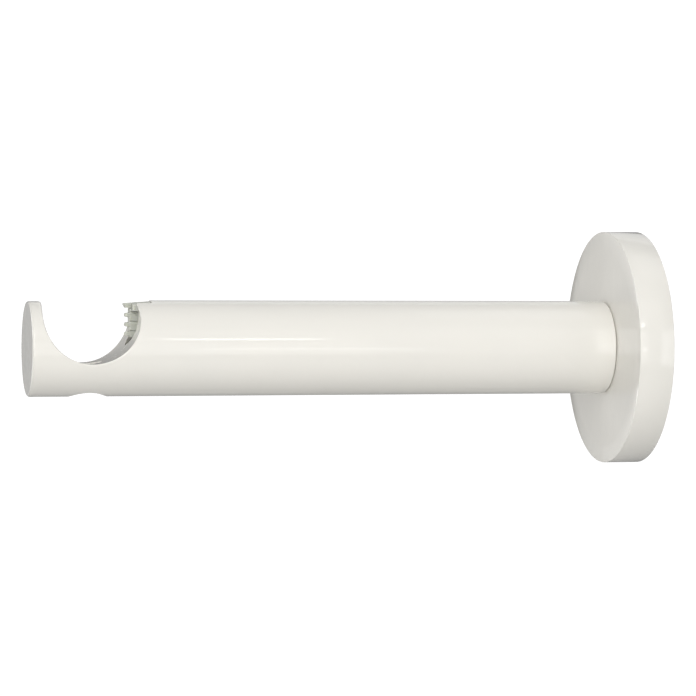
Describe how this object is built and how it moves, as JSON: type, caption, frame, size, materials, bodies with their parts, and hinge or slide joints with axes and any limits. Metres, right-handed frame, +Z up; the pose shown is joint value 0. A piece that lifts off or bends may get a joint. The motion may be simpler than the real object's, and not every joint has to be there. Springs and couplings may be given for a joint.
{
  "type": "curtain rod wall bracket",
  "caption": "Open wall bracket for a round curtain rod: a round arm on a disc rosette, with an open cradle, a ribbed grip and a clamp screw at its free end.",
  "frame": {"origin": "centre of the back face, on the wall, on the arm's axis", "axes": "+Y into the wall, so the arm reaches out along -Y; +X along the curtain rod; +Z up"},
  "size_m": [0.05, 0.1325, 0.05],
  "materials": {
    "white_lacquer": "smooth gloss lacquer, warm white",
    "white_moulded": "fine satin moulding",
    "soft_grip": "matt soft elastomer",
    "natural_nylon": "natural nylon",
    "zinc_plate": "zinc plated, satin",
    "turned_steel": "turned and zinc plated",
    "aluminium": "turned",
    "brass": "turned"
  },
  "bodies": {
    "wall_base": {"wall_plate": "zinc_plate", "wall_spigot": "turned_steel"},
    "rosette": {"rosette_cover": "white_lacquer", "rosette_ring": "natural_nylon"},
    "arm": {"arm_tube": "white_lacquer", "end_cap": "white_lacquer", "saddle_block": "white_moulded", "grip_insert": "soft_grip", "clamp_bush": "brass", "rear_plug": "aluminium"},
    "clamp_pad": {"clamp_pad": "natural_nylon"},
    "clamp_screw": {"clamp_screw": "turned_steel"},
    "lock_slug": {"lock_slug": "brass"},
    "lock_screw": {"lock_screw": "turned_steel"}
  },
  "joints": [
    {"name": "arm_pull_off", "type": "slide", "parent": "wall_base", "child": "rosette", "axis": [0, -1, 0], "range_m": [0, 0.03]},
    {"name": "arm_turn", "type": "hinge", "parent": "rosette", "child": "arm", "pos_m": [0, -0.02, 0], "axis": [0, -1, 0], "continuous": true},
    {"name": "clamp_pad_slide", "type": "slide", "parent": "arm", "child": "clamp_pad", "axis": [0, 0, 1], "range_m": [0, 0.002]},
    {"name": "clamp_screw_turn", "type": "hinge", "parent": "clamp_pad", "child": "clamp_screw", "pos_m": [0, -0.12, -0.0065], "axis": [0, 0, 1], "range_deg": [0, 720]},
    {"name": "lock_slug_slide", "type": "slide", "parent": "arm", "child": "lock_slug", "axis": [-1, 0, 0], "range_m": [0, 0.0021]},
    {"name": "lock_screw_turn", "type": "hinge", "parent": "lock_slug", "child": "lock_screw", "pos_m": [-0.0075, -0.02, 0], "axis": [-1, 0, 0], "range_deg": [0, 1080]}
  ],
  "couplings": [
    {"joint": "clamp_screw_turn", "follows": "clamp_pad_slide", "rad_per_m": 6283.2},
    {"joint": "lock_screw_turn", "follows": "lock_slug_slide", "rad_per_m": 8976}
  ]
}
